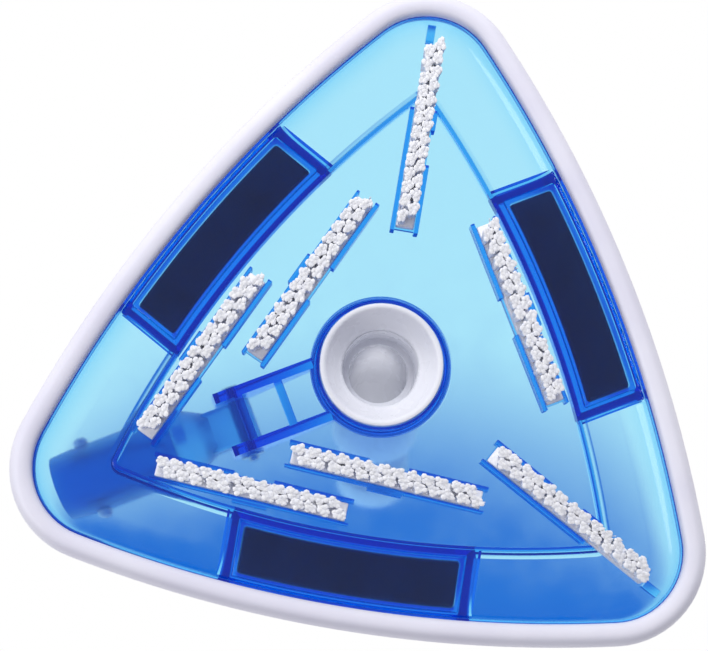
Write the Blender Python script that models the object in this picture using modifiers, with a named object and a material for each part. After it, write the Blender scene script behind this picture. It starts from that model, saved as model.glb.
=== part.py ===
"""Triangular weighted pool vacuum head: see-through shell, vinyl bumper, swivel hose port and tilting handle.

The head stands on its brush tips at z = 0. +Y points to the rear corner, over which the folded handle lies,
and -Y to the flat front side. X = 0 is the mirror plane. All lengths are in metres.
"""

import math

import bmesh
import bpy
from mathutils import Vector

MM = 0.001

# Body outline: three bowed sides joined by round corners, measured to the bumper's inner edge.
SIDE_REACH = 103.0 * MM  # port axis to the middle of a side
SIDE_RADIUS = 557.0 * MM
CORNER_RADIUS = 30.0 * MM
SIDE_STEPS = 10
CORNER_STEPS = 6

# Shell.
WALL = 2.6 * MM
RIM_Z = 10.2 * MM  # underside of the rim that the bumper grips
SKIRT_Z = 17.0 * MM  # underside of the flat part of the skirt
SKIRT_ROLL = 12.0 * MM  # width over which the skirt rolls down to the rim
ROLL_INSET = 1.0 * MM  # how far inside the outline the roll's underside ends
RIM_GRIP = 5.2 * MM  # how far the rim reaches into the bumper
PLATEAU_RISE = 2.5 * MM
PLATEAU_REACH = 72.3 * MM
PLATEAU_RADIUS = 440.0 * MM
PLATEAU_CORNER = 2.0 * MM
RIB = 1.7 * MM
RIB_Z = 12.9 * MM  # lower edge of the chamber rib and of the weight pockets
SINK = 0.6 * MM  # how far one moulded feature runs into the next
CLEARANCE = 0.3 * MM  # between pieces that touch

# Bumper.
BUMPER_PROUD = 9.7 * MM
BUMPER_Z = 4.2 * MM
BUMPER_TOP_Z = 18.6 * MM
BUMPER_LIP_GAP = 0.4 * MM  # the upper lip stops short of the rolled skirt and the weight pockets

# Weights and their pockets, one in the middle of each side.
WEIGHT_HALF = 45.5 * MM
WEIGHT_INNER = 79.3 * MM  # port axis to the inner edge, mid-side
WEIGHT_OUTER = 97.6 * MM
WEIGHT_Z = 15.6 * MM
WEIGHT_HEIGHT = 9.0 * MM
WEIGHT_GAP = 0.5 * MM
COVER_LAP = 2.2 * MM
COVER_THICKNESS = 2.0 * MM
POCKET_HALF = 53.8 * MM
POCKET_DRAFT = 1.2 * MM
POCKET_STEP = 0.2 * MM  # the frame's face stands this much above the rib's edge
POCKET_ROOT = 0.4 * MM  # how far inside the rib the pocket's inner wall starts
POCKET_OUTER_GROW = 0.9 * MM  # how far the pocket's outer wall stands past the body outline

# Brushes.
BRUSH_LENGTH = 82.0 * MM
BRUSH_WIDTH = 8.0 * MM
BRUSH_BASE = 4.4 * MM
BRISTLE_LENGTH = 12.2 * MM
TUFTS = 9
TUFT_ROOT = 1.55 * MM
TUFT_TIP = 2.0 * MM
TUFT_SIDES = 6
RAIL = 1.8 * MM
THIN_RAIL = 1.2 * MM
THICK_RAIL = 2.6 * MM
RAIL_Z = 11.6 * MM
RAIL_GAP = 17.0 * MM  # break in the middle of a segmented rail
CORNER_RAIL_END = 12.0 * MM
CORNER_RAIL_BREAK = (12.5 * MM, 3.0 * MM)  # how far it reaches inwards and outwards of the strip's middle
BRUSH_PLACES = {  # centre of each pair's right-hand strip and the turn of its length from +X
    "brush_corner": (87.3 * MM, -51.0 * MM, -30.3),
    "brush_inner": (45.5 * MM, 15.2 * MM, -55.8),
    "brush_rear": (30.3 * MM, 70.0 * MM, -55.8),
}
BRUSH_FRONT_Y = -63.2 * MM

# Suction port, from the funnel ring below to the elbow above.
PORT_RING_RADIUS = 26.3 * MM
PORT_RING_Z = 12.0 * MM
PORT_RING_WALL = 1.7 * MM
PORT_BORE = 16.6 * MM
FUNNEL_HEIGHT = 11.4 * MM
COLLAR_WALL = 3.3 * MM
ROUND = 40  # sides of the ring and of the collar that it turns in
COLLAR_Z = 14.0 * MM
COLLAR_TOP_Z = 33.0 * MM
SHOULDER = 3.3 * MM  # lip at the collar's top that the ring bears on
STEM_STEP = 4.0 * MM  # the stem is this much smaller than the ring that carries it
STEM_CLEARANCE = 0.5 * MM
STEM_LAP = 3.6 * MM  # depth of the stem's seat in the ring
ELBOW_FLANGE_LIP = 5.7 * MM  # how far the flange stands out past the stem
ELBOW_FLANGE_HEIGHT = 3.2 * MM
NOZZLE_BORE = 13.0 * MM
NOZZLE_RADIUS = 15.9 * MM  # 1 1/4 inch hose cuff
NOZZLE_LENGTH = 30.0 * MM
HOSE_STEP_RADIUS = 19.05 * MM  # 1 1/2 inch hose cuff
HOSE_STEP_LENGTH = 24.0 * MM
BEND_RADIUS = 25.0 * MM
BEND_ANGLE = 45.0
BEND_START_Z = 46.0 * MM
BEND_STEPS = 4
ELBOW_HEADING = 21.7  # turn of the nozzle from +X, seen from above
SEAL_RADIUS = 1.2 * MM
SEAL_GAP = 0.3 * MM

# Handle and the bracket that carries it.
PIVOT_Y = 64.0 * MM
PIVOT_RISE = 15.5 * MM  # above the plateau, so the tube's round clears the shell
PIN_RADIUS = 2.5 * MM
PIN_CLEARANCE = 0.3 * MM
HUB_RADIUS = 6.5 * MM
HUB_HALF = 9.4 * MM
EAR = 4.5 * MM
EAR_RADIUS = 8.5 * MM
EAR_TIE_Y = (43.5 * MM, 61.5 * MM)
EAR_TIE = 3.6 * MM
TUBE_RADIUS = 15.0 * MM
TUBE_BORE = 12.0 * MM
TUBE_START = 24.0 * MM  # from the pivot
TUBE_END = 84.0 * MM
BUTTON_PLACE = 68.0 * MM
BUTTON_RADIUS = 3.2 * MM
BUTTON_HOLE = 4.3 * MM
BUTTON_SWING = 0.7 * MM  # the hole sits this much further out, because the button swings as its arm flexes
BUTTON_PROUD = 3.6 * MM
SPRING_PLACE = 38.0 * MM  # where the arms leave the bend
SPRING_BEND = 5.0 * MM
SPRING_STRIP = 0.9 * MM
SPRING_WIDTH = 8.0 * MM
SPRING_SPREAD = 9.0 * MM

PLATEAU_Z = SKIRT_Z + PLATEAU_RISE
BUMPER_TOP_LIP = WALL - ROLL_INSET + BUMPER_LIP_GAP
STEM_RADIUS = PORT_RING_RADIUS - STEM_STEP
ELBOW_FLANGE = STEM_RADIUS + ELBOW_FLANGE_LIP
PLATEAU_TOP = PLATEAU_Z + WALL
PIVOT_Z = PLATEAU_TOP + PIVOT_RISE
BRUSH_TOP = BRISTLE_LENGTH + BRUSH_BASE
COLLAR_BORE = PORT_RING_RADIUS + 0.4 * MM
COLLAR_RADIUS = COLLAR_BORE + COLLAR_WALL
SHOULDER_Z = COLLAR_TOP_Z - SHOULDER
RING_TOP_Z = SHOULDER_Z - CLEARANCE
STEM_Z = RING_TOP_Z - STEM_LAP
EAR_INNER = HUB_HALF + CLEARANCE
SIDE_TURNS = {"front": 0.0, "rear_right": 120.0, "rear_left": 240.0}

assembly = bpy.data.collections.new("pool_vacuum_head")
cutters = bpy.data.collections.new("cutters")
shell_joins = bpy.data.collections.new("shell_joins")
shell_cuts = bpy.data.collections.new("shell_cuts")


# ---------------------------------------------------------------- helpers


def clear_scene():
    for obj in list(bpy.data.objects):
        bpy.data.objects.remove(obj)
    for collection in (assembly, cutters, shell_joins, shell_cuts):
        bpy.context.scene.collection.children.link(collection)
        collection.hide_render = collection is not assembly


def material(name, colour, roughness, metallic=0.0):
    made = bpy.data.materials.new(name)
    made.use_nodes = True
    shader = made.node_tree.nodes["Principled BSDF"]
    shader.inputs["Base Color"].default_value = (*colour, 1.0)
    shader.inputs["Roughness"].default_value = roughness
    shader.inputs["Metallic"].default_value = metallic
    return made


def place(obj, collection, parent=None, finish=None):
    """Puts an object in its collection and its parent's frame, as a node or as a hidden cutter."""
    for old in list(obj.users_collection):
        old.objects.unlink(obj)
    collection.objects.link(obj)
    obj.parent = parent
    if collection is not assembly:
        obj.hide_render = True
        obj.display_type = "WIRE"
    if finish:
        obj.data.materials.append(finish)
    return obj


def from_bmesh(name, bm):
    bmesh.ops.recalc_face_normals(bm, faces=bm.faces[:])
    mesh = bpy.data.meshes.new(name)
    bm.to_mesh(mesh)
    bm.free()
    return bpy.data.objects.new(name, mesh)


def loft(name, rings, closed=False):
    """A solid through rings of equal point counts, capped at both ends or closed on itself."""
    bm = bmesh.new()
    rows = [[bm.verts.new(point) for point in ring] for ring in rings]
    pairs = list(zip(rows, rows[1:]))
    if closed:
        pairs.append((rows[-1], rows[0]))
    else:
        bm.faces.new(rows[0])
        bm.faces.new(rows[-1])
    for low, high in pairs:
        for i in range(len(low)):
            j = (i + 1) % len(low)
            bm.faces.new((low[i], low[j], high[j], high[i]))
    return from_bmesh(name, bm)


def prism(name, outline, low, high, axis="Z"):
    """An outline extruded along an axis. On X the outline's points are (y, z)."""
    turn = {"Z": lambda a, b, c: (a, b, c), "X": lambda a, b, c: (c, a, b)}[axis]
    return loft(name, [[turn(a, b, c) for a, b in outline] for c in (low, high)])


def box(name, low, high):
    outline = [(low[0], low[1]), (high[0], low[1]), (high[0], high[1]), (low[0], high[1])]
    return prism(name, outline, low[2], high[2])


def cylinder(name, radius, low, high, sides=24, axis="Z", centre=(0.0, 0.0)):
    ring = [
        (centre[0] + radius * math.cos(a), centre[1] + radius * math.sin(a))
        for a in (math.tau * i / sides for i in range(sides))
    ]
    return prism(name, ring, low, high, axis)


def turned(name, profile, sides):
    """A profile of (radius, height), run down its outer side, spun about Z with a Screw modifier."""
    bm = bmesh.new()
    points = [bm.verts.new((r, 0.0, z)) for r, z in profile]
    for a, b in zip(points, points[1:] + points[:1]):
        bm.edges.new((a, b))
    mesh = bpy.data.meshes.new(name)
    bm.to_mesh(mesh)
    bm.free()
    obj = bpy.data.objects.new(name, mesh)
    screw = obj.modifiers.new("Screw", "SCREW")
    screw.steps = screw.render_steps = sides
    screw.use_merge_vertices = True
    screw.merge_threshold = 0.00001
    screw.use_smooth_shade = True
    return obj


def turned_solid(name, profile, axis, sides=24, at=(0.0, 0.0, 0.0)):
    """A profile of (radius, distance along the axis) that starts and ends on the axis, spun into a solid."""
    along = Vector(axis)
    across = Vector((0.0, 0.0, 1.0)) if abs(along.z) < 0.5 else Vector((1.0, 0.0, 0.0))
    bm = bmesh.new()
    points = [bm.verts.new(along * length + across * radius) for radius, length in profile]
    for a, b in zip(points, points[1:]):
        bm.edges.new((a, b))
    whole = {"cent": (0, 0, 0), "axis": axis, "angle": math.tau, "steps": sides, "use_merge": True}
    bmesh.ops.spin(bm, geom=bm.verts[:] + bm.edges[:], **whole)
    bmesh.ops.remove_doubles(bm, verts=bm.verts[:], dist=0.00001)
    bmesh.ops.translate(bm, verts=bm.verts[:], vec=at)
    return from_bmesh(name, bm)


def boolean(obj, operation, other):
    cut = obj.modifiers.new(operation.title(), "BOOLEAN")
    cut.operation = operation
    cut.solver = "EXACT"
    if isinstance(other, bpy.types.Collection):
        cut.operand_type = "COLLECTION"
        cut.collection = other
    else:
        cut.object = other


def bevel(obj, width, segments=2, angle=40.0):
    made = obj.modifiers.new("Bevel", "BEVEL")
    made.width = width
    made.segments = segments
    made.limit_method = "ANGLE"
    made.angle_limit = math.radians(angle)


def smooth(obj, angle=35.0):
    obj.data.shade_smooth()
    obj.data.set_sharp_from_angle(angle=math.radians(angle))


def baked(obj):
    """The object's evaluated mesh as a new mesh of its own."""
    bpy.context.view_layer.update()
    graph = bpy.context.evaluated_depsgraph_get()
    return bpy.data.meshes.new_from_object(obj.evaluated_get(graph))


# ---------------------------------------------------------------- outlines


def three_sided(reach, side_radius, corner_radius, grow=0.0):
    """The body outline grown outwards: three arcs of one radius, tangent to three corner arcs."""
    back = side_radius - reach
    link = side_radius - corner_radius
    corner = (math.sqrt(4 * link**2 - 3 * back**2) - back) / 2
    half = math.atan2(corner * math.sin(math.pi / 3), corner * math.cos(math.pi / 3) + back)
    points = []
    for normal in (-math.pi / 2, math.pi / 6, math.pi * 5 / 6):
        side = Vector((math.cos(normal), math.sin(normal))) * -back
        for i in range(SIDE_STEPS + 1):
            a = normal + half * (2 * i / SIDE_STEPS - 1)
            points.append(side + Vector((math.cos(a), math.sin(a))) * (side_radius + grow))
        apex = normal + math.pi / 3
        middle = Vector((math.cos(apex), math.sin(apex))) * corner
        turn = math.pi / 3 - half
        for i in range(1, CORNER_STEPS):
            a = apex + turn * (2 * i / CORNER_STEPS - 1)
            points.append(middle + Vector((math.cos(a), math.sin(a))) * (corner_radius + grow))
    return points


def body_ring(grow, z):
    return [(*p, z) for p in three_sided(SIDE_REACH, SIDE_RADIUS, CORNER_RADIUS, grow)]


def plateau_ring(grow, z):
    return [(*p, z) for p in three_sided(PLATEAU_REACH, PLATEAU_RADIUS, PLATEAU_CORNER, grow)]


def bowed_section(inner, outer, half, z, steps=8):
    """A bar's outline across the front side: ends square, long edges bowed with the plateau and the body."""

    def arc(reach, radius, lefts):
        return [(x, radius - reach - math.sqrt(radius**2 - x**2), z) for x in lefts]

    across = [half * (2 * i / steps - 1) for i in range(steps + 1)]
    inner_radius = PLATEAU_RADIUS + inner - PLATEAU_REACH
    outer_radius = SIDE_RADIUS + outer - SIDE_REACH
    return arc(outer, outer_radius, across) + arc(inner, inner_radius, across[::-1])


# ---------------------------------------------------------------- shell


def shell_pan(parent, finish):
    """Plateau, chamber rib, skirt rolled down to the rim, and back over the top at one wall thickness."""
    rings = [
        plateau_ring(0, PLATEAU_Z),
        plateau_ring(0, RIB_Z),
        plateau_ring(RIB, RIB_Z),
        plateau_ring(RIB, SKIRT_Z),
    ]
    drop = SKIRT_Z - RIM_Z
    steps = 5
    turns = [math.pi / 2 * i / steps for i in range(steps + 1)]
    rings += [
        body_ring(SKIRT_ROLL * (math.sin(t) - 1) - ROLL_INSET, RIM_Z + drop * math.cos(t)) for t in turns
    ]
    rings += [body_ring(RIM_GRIP, RIM_Z), body_ring(RIM_GRIP, RIM_Z + WALL)]
    top_roll = SKIRT_ROLL + WALL
    rings += [
        body_ring(top_roll * math.sin(t) - SKIRT_ROLL - ROLL_INSET, RIM_Z + WALL + drop * math.cos(t))
        for t in turns[::-1]
    ]
    rings += [
        plateau_ring(RIB + WALL, SKIRT_Z + WALL),
        plateau_ring(RIB + 0.5 * WALL, SKIRT_Z + WALL + 0.35 * PLATEAU_RISE),
        plateau_ring(RIB + 0.3 * WALL, PLATEAU_TOP - 0.3 * PLATEAU_RISE),
        plateau_ring(RIB - 0.2 * WALL, PLATEAU_TOP),
    ]
    return place(loft("shell", rings), assembly, parent, finish)


def pocket(name, turn, parent):
    """A drafted housing over a side of the skirt, hollowed for the weight and stepped for its cover."""
    wall_top = WEIGHT_Z + WEIGHT_HEIGHT + WEIGHT_GAP + WALL
    root = PLATEAU_REACH + POCKET_ROOT
    outer = SIDE_REACH + POCKET_OUTER_GROW
    outside = loft(
        f"{name}_pocket",
        [
            bowed_section(root, outer, POCKET_HALF, RIB_Z + POCKET_STEP),
            bowed_section(root, outer, POCKET_HALF - POCKET_DRAFT, SKIRT_Z + WALL / 2),
            bowed_section(root, outer - POCKET_DRAFT, POCKET_HALF - 2 * POCKET_DRAFT, PLATEAU_TOP + SINK),
            bowed_section(
                WEIGHT_INNER - WEIGHT_GAP - WALL,
                WEIGHT_OUTER + WEIGHT_GAP + WALL,
                WEIGHT_HALF + WEIGHT_GAP + WALL,
                wall_top,
            ),
        ],
    )
    hollow = loft(
        f"{name}_hollow",
        [
            bowed_section(
                WEIGHT_INNER - WEIGHT_GAP,
                WEIGHT_OUTER + WEIGHT_GAP,
                WEIGHT_HALF + WEIGHT_GAP,
                z,
            )
            for z in (RIB_Z - SINK, WEIGHT_Z + WEIGHT_HEIGHT + CLEARANCE)
        ],
    )
    lap = COVER_LAP + CLEARANCE
    seat = loft(
        f"{name}_seat",
        [
            bowed_section(WEIGHT_INNER - lap, WEIGHT_OUTER + lap, WEIGHT_HALF + lap, z)
            for z in (RIM_Z - SINK, WEIGHT_Z - CLEARANCE / 2)
        ],
    )
    for obj, collection in ((outside, shell_joins), (hollow, shell_cuts), (seat, shell_cuts)):
        place(obj, collection, parent)
        obj.rotation_euler.z = math.radians(turn)


def rail_runs(kind):
    """The rails beside a strip, as (side, thickness, start, end) along its length from its middle."""
    half = BRUSH_LENGTH / 2 + 2 * MM
    gap = RAIL_GAP / 2
    if kind == "brush_corner":
        return [
            (1, RAIL, -half, CORNER_RAIL_END),
            (-1, RAIL, -half, -CORNER_RAIL_BREAK[0]),
            (-1, RAIL, CORNER_RAIL_BREAK[1], CORNER_RAIL_END),
        ]
    return [
        (1, THIN_RAIL, -half, half),
        (1, THICK_RAIL, -7 * MM, 8 * MM),
        (-1, RAIL, -half, -gap),
        (-1, RAIL, gap, half),
    ]


def brush_seat(name, kind, x, y, turn, side, parent):
    """Rails and floor that hold one strip, and the slot that keeps them clear of it."""
    empty = bpy.data.objects.new(f"{name}_place", None)
    place_empty(empty, parent, (x, y, 0), turn)
    slot = BRUSH_WIDTH / 2 + CLEARANCE
    for i, (hand, thick, start, end) in enumerate(rail_runs(kind)):
        inner, outer = hand * side * (slot - 0.1 * MM - 0.05 * thick), hand * side * (slot + thick)
        low, high = min(inner, outer), max(inner, outer)
        foot, top = RAIL_Z + 0.1 * thick, PLATEAU_Z + SINK - 0.1 * thick
        rail = box(f"{name}_rail_{i}", (start, low, foot), (end, high, top))
        place(rail, shell_joins, empty)
    reach = BRUSH_LENGTH / 2 + 0.5 * MM
    end = CORNER_RAIL_END - MM if kind == "brush_corner" else reach
    floor = box(
        f"{name}_floor",
        (-reach, -slot - 0.5 * MM, BRUSH_TOP - SINK),
        (end, slot + 0.5 * MM, PLATEAU_Z + 0.4 * MM),
    )
    place(floor, shell_joins, empty)
    opening = box(
        f"{name}_slot",
        (-reach - 3 * MM, -slot, 0),
        (reach + 0.7 * MM, slot, BRUSH_TOP + CLEARANCE),
    )
    place(opening, shell_cuts, empty)
    if kind == "brush_corner":
        stop = box(
            f"{name}_stop",
            (reach + 0.2 * MM, side * 0.8 * MM, RAIL_Z),
            (reach + 8 * MM, side * 4.4 * MM, SKIRT_Z + 0.3 * MM),
        )
        place(stop, shell_joins, empty)


def collar(parent):
    """The round wall that the port ring and the elbow turn in, with a shoulder between them."""
    outside = cylinder("collar", COLLAR_RADIUS, COLLAR_Z, COLLAR_TOP_Z, ROUND)
    place(outside, shell_joins, parent)
    bore = cylinder("collar_bore", COLLAR_BORE, COLLAR_Z - SINK, SHOULDER_Z, ROUND)
    throat = cylinder(
        "collar_throat", STEM_RADIUS + STEM_CLEARANCE, SHOULDER_Z - SINK, COLLAR_TOP_Z + SINK, ROUND
    )
    place(bore, shell_cuts, parent)
    place(throat, shell_cuts, parent)


def ear_outline():
    """Side view of a bracket ear: it climbs from the collar and rounds off over the pin."""
    near = COLLAR_BORE - 0.5 * MM
    foot = PLATEAU_TOP - SINK
    top = [
        (PIVOT_Y + EAR_RADIUS * math.cos(a), PIVOT_Z + EAR_RADIUS * math.sin(a))
        for a in (math.radians(105 - 15 * i) for i in range(8))
    ]
    return [(near, foot), (near, COLLAR_TOP_Z - 1.5 * MM), *top, (PIVOT_Y + EAR_RADIUS - MM, foot)]


def bracket(parent):
    """Two ears and the low ties between them, bored for the hinge pin."""
    for name, side in (("left", -1), ("right", 1)):
        low, high = sorted((side * EAR_INNER, side * (EAR_INNER + EAR)))
        place(prism(f"ear_{name}", ear_outline(), low, high, "X"), shell_joins, parent)
    for i, y in enumerate(EAR_TIE_Y):
        top = PIVOT_Z - HUB_RADIUS - 2.0 * MM
        tie = box(
            f"ear_tie_{i}",
            (-EAR_INNER - MM, y - EAR_TIE / 2, PLATEAU_TOP - 1.5 * SINK),
            (EAR_INNER + MM, y + EAR_TIE / 2, top),
        )
        place(tie, shell_joins, parent)
    reach = EAR_INNER + EAR + MM
    hole = cylinder("pin_hole", PIN_RADIUS + PIN_CLEARANCE, -reach, reach, 24, "X", (PIVOT_Y, PIVOT_Z))
    place(hole, shell_cuts, parent)


def place_empty(empty, parent, location, turn=0.0):
    assembly.objects.link(empty)
    empty.parent = parent
    empty.location = location
    empty.rotation_euler.z = math.radians(turn)


def brush_places():
    """Every strip as (name, kind, x, y, turn, side), the pairs mirrored across X = 0."""
    found = [("brush_front", "brush_front", 0.0, BRUSH_FRONT_Y, 0.0, -1)]
    for kind, (x, y, turn) in BRUSH_PLACES.items():
        found.append((f"{kind}_right", kind, x, y, turn, 1))
        found.append((f"{kind}_left", kind, -x, y, 180 - turn, -1))
    return found


def make_shell(parent, finish):
    shell = shell_pan(parent, finish)
    for name, turn in SIDE_TURNS.items():
        pocket(name, turn, parent)
    for name, kind, x, y, turn, side in brush_places():
        brush_seat(name, kind, x, y, turn, side, parent)
    collar(parent)
    bracket(parent)
    boolean(shell, "UNION", shell_joins)
    boolean(shell, "DIFFERENCE", shell_cuts)
    smooth(shell)


# ---------------------------------------------------------------- rim, weights and brushes


def make_bumper(parent, finish):
    """A soft channel pressed over the rim: round outside, a slot for the rim, and a lip above and below."""
    slot_low, slot_high = RIM_Z - CLEARANCE, RIM_Z + WALL + CLEARANCE
    slot_end = RIM_GRIP + CLEARANCE
    middle = (BUMPER_Z + BUMPER_TOP_Z) / 2
    half = (BUMPER_TOP_Z - BUMPER_Z) / 2
    belly = BUMPER_PROUD - 4.7 * MM
    round_side = [
        (4.7 * MM + belly * math.cos(a), middle + half * math.sin(a))
        for a in (math.radians(-90 + 22.5 * i) for i in range(9))
    ]
    section = [
        (0.0, slot_low),
        (0.0, BUMPER_Z + 3.4 * MM),
        (1.5 * MM, BUMPER_Z + 1.1 * MM),
        *round_side,
        (BUMPER_TOP_LIP + 0.6 * MM, BUMPER_TOP_Z - 1.2 * MM),
        (BUMPER_TOP_LIP, BUMPER_TOP_Z - 3.0 * MM),
        (BUMPER_TOP_LIP, slot_high),
        (slot_end, slot_high),
        (slot_end, slot_low),
    ]
    bumper = loft("bumper", [body_ring(u, z) for u, z in section], closed=True)
    place(bumper, assembly, parent, finish)
    smooth(bumper, 50)


def make_weights(parent, metal, cover_finish):
    """A bowed bar and the plate that shuts its pocket, for each side."""
    bar_rings = [
        bowed_section(WEIGHT_INNER, WEIGHT_OUTER, WEIGHT_HALF, z)
        for z in (WEIGHT_Z, WEIGHT_Z + WEIGHT_HEIGHT)
    ]
    cover_top = WEIGHT_Z - CLEARANCE
    plate_rings = [
        bowed_section(
            WEIGHT_INNER - COVER_LAP, WEIGHT_OUTER + COVER_LAP, WEIGHT_HALF + COVER_LAP, z
        )
        for z in (cover_top - COVER_THICKNESS, cover_top)
    ]
    for name, turn in SIDE_TURNS.items():
        for label, rings, finish, edge in (
            ("weight", bar_rings, metal, 1.0 * MM),
            ("weight_cover", plate_rings, cover_finish, 0.5 * MM),
        ):
            piece = place(loft(f"{label}_{name}", rings), assembly, parent, finish)
            piece.rotation_euler.z = math.radians(turn)
            bevel(piece, edge, 1)


def brush_mesh(parent):
    """One strip: a moulded base with two staggered rows of flared tufts, as one solid."""
    half = BRUSH_LENGTH / 2
    base = box(
        "strip_base",
        (-half, -BRUSH_WIDTH / 2, BRISTLE_LENGTH),
        (half, BRUSH_WIDTH / 2, BRUSH_TOP),
    )
    place(base, cutters, parent)
    pitch = (BRUSH_LENGTH - 8 * MM) / (TUFTS - 0.5)
    bm = bmesh.new()
    for row, y in enumerate((-1.9 * MM, 1.9 * MM)):
        for i in range(TUFTS):
            x = -half + 4 * MM + pitch * (i + 0.5 * row)
            rings = [
                [
                    (x + r * math.cos(a), y + r * math.sin(a), z)
                    for a in (math.tau * k / TUFT_SIDES for k in range(TUFT_SIDES))
                ]
                for r, z in ((TUFT_TIP * 0.95, 0.0), (TUFT_ROOT, BRISTLE_LENGTH + SINK))
            ]
            rows = [[bm.verts.new(p) for p in ring] for ring in rings]
            bm.faces.new(rows[0])
            bm.faces.new(rows[1])
            for k in range(TUFT_SIDES):
                j = (k + 1) % TUFT_SIDES
                bm.faces.new((rows[0][k], rows[0][j], rows[1][j], rows[1][k]))
    tufts = place(from_bmesh("strip_tufts", bm), cutters, parent)
    boolean(base, "UNION", tufts)
    return baked(base)


def make_brushes(parent, finish):
    mesh = brush_mesh(parent)
    mesh.materials.append(finish)
    for name, _, x, y, turn, _ in brush_places():
        strip = place(bpy.data.objects.new(name, mesh), assembly, parent)
        strip.location = (x, y, 0)
        strip.rotation_euler.z = math.radians(turn)


# ---------------------------------------------------------------- swivel port


def make_port_ring(parent, finish):
    """The funnel seen from below: it takes the elbow's stem and bears on the collar's shoulder."""
    low, top = PORT_RING_Z, RING_TOP_Z
    throat_z = low + FUNNEL_HEIGHT
    seat = STEM_RADIUS + CLEARANCE
    profile = [
        (PORT_RING_RADIUS, top),
        (PORT_RING_RADIUS, low + 0.6 * MM),
        (PORT_RING_RADIUS - 0.6 * MM, low),
        (PORT_RING_RADIUS - PORT_RING_WALL, low),
        (PORT_RING_RADIUS - PORT_RING_WALL - 0.8 * MM, low + 0.8 * MM),
        (PORT_BORE + 1.1 * MM, throat_z),
        (PORT_BORE + 0.3 * MM, throat_z + 0.4 * MM),
        (PORT_BORE, throat_z + 1.0 * MM),
        (PORT_BORE, STEM_Z - CLEARANCE),
        (seat, STEM_Z - CLEARANCE),
        (seat, top),
    ]
    place(turned("swivel_ring", profile, ROUND), assembly, parent, finish)


def elbow_point(length):
    """The elbow's centreline at a length from its foot, as (out, up, turn): straight, bent, then straight."""
    rise = BEND_START_Z - STEM_Z
    bend = BEND_RADIUS * math.radians(BEND_ANGLE)
    turn = min(max(length - rise, 0.0), bend) / BEND_RADIUS
    ahead = max(length - rise - bend, 0.0)
    out = BEND_RADIUS * (1 - math.cos(turn)) + ahead * math.sin(turn)
    up = STEM_Z + min(length, rise) + BEND_RADIUS * math.sin(turn) + ahead * math.cos(turn)
    return out, up, turn


def elbow_ring(length, radius, sides=24):
    out, up, turn = elbow_point(length)
    points = []
    for k in range(sides):
        a = math.tau * k / sides
        across = radius * math.cos(a)
        points.append((out + across * math.cos(turn), radius * math.sin(a), up - across * math.sin(turn)))
    return points


def make_elbow(parent, finish):
    """Hollow swivel elbow: stem with a seal groove, flange, bend, and a nozzle stepped for two hose sizes."""
    rise = BEND_START_Z - STEM_Z
    bend = BEND_RADIUS * math.radians(BEND_ANGLE)
    groove = STEM_RADIUS - 2 * SEAL_RADIUS - SEAL_GAP
    groove_z = SHOULDER_Z + (SHOULDER - 2 * SEAL_RADIUS) / 2 - SEAL_GAP
    flange_z = COLLAR_TOP_Z + CLEARANCE
    neck = HOSE_STEP_RADIUS - 0.6 * MM
    step = rise + bend + HOSE_STEP_LENGTH
    end = step + NOZZLE_LENGTH

    def outer(z):
        return z - STEM_Z

    outside = [
        (0, STEM_RADIUS),
        (outer(groove_z), STEM_RADIUS),
        (outer(groove_z), groove),
        (outer(groove_z) + 2 * SEAL_RADIUS + 2 * SEAL_GAP, groove),
        (outer(groove_z) + 2 * SEAL_RADIUS + 2 * SEAL_GAP, STEM_RADIUS),
        (outer(flange_z), STEM_RADIUS),
        (outer(flange_z), ELBOW_FLANGE - 0.5 * MM),
        (outer(flange_z) + 0.5 * MM, ELBOW_FLANGE),
        (outer(flange_z) + ELBOW_FLANGE_HEIGHT - 0.8 * MM, ELBOW_FLANGE),
        (outer(flange_z) + ELBOW_FLANGE_HEIGHT, ELBOW_FLANGE - 0.8 * MM),
        (outer(flange_z) + ELBOW_FLANGE_HEIGHT, STEM_RADIUS + 1.0 * MM),
        (outer(flange_z) + ELBOW_FLANGE_HEIGHT + 1.2 * MM, STEM_RADIUS - 0.8 * MM),
        (rise - 2 * MM, neck + 0.4 * MM),
        *[(rise + bend * i / BEND_STEPS, neck) for i in range(BEND_STEPS + 1)],
        (rise + bend + 0.8 * MM, HOSE_STEP_RADIUS),
        (step - 1.0 * MM, HOSE_STEP_RADIUS),
        (step, HOSE_STEP_RADIUS - 1.0 * MM),
        (step, NOZZLE_RADIUS),
        (end - 1.2 * MM, NOZZLE_RADIUS),
        (end, NOZZLE_RADIUS - 0.7 * MM),
    ]
    inside = [
        (end, NOZZLE_BORE),
        *[(rise + bend * i / BEND_STEPS, NOZZLE_BORE) for i in range(BEND_STEPS, -1, -1)],
        (0, PORT_BORE - 0.2 * MM),
    ]
    elbow = loft("swivel_elbow", [elbow_ring(s, r) for s, r in outside + inside], closed=True)
    place(elbow, assembly, parent, finish)
    elbow.rotation_euler.z = math.radians(ELBOW_HEADING)
    smooth(elbow)


def make_seal(parent, finish):
    """The O-ring between the stem's groove and the collar's shoulder."""
    middle = SHOULDER_Z + SHOULDER / 2
    centre = STEM_RADIUS - SEAL_RADIUS
    profile = [
        (centre + SEAL_RADIUS * math.cos(a), middle + SEAL_RADIUS * math.sin(a))
        for a in (math.tau * -i / 6 for i in range(6))
    ]
    place(turned("swivel_o_ring", profile, 28), assembly, parent, finish)


# ---------------------------------------------------------------- handle


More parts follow.
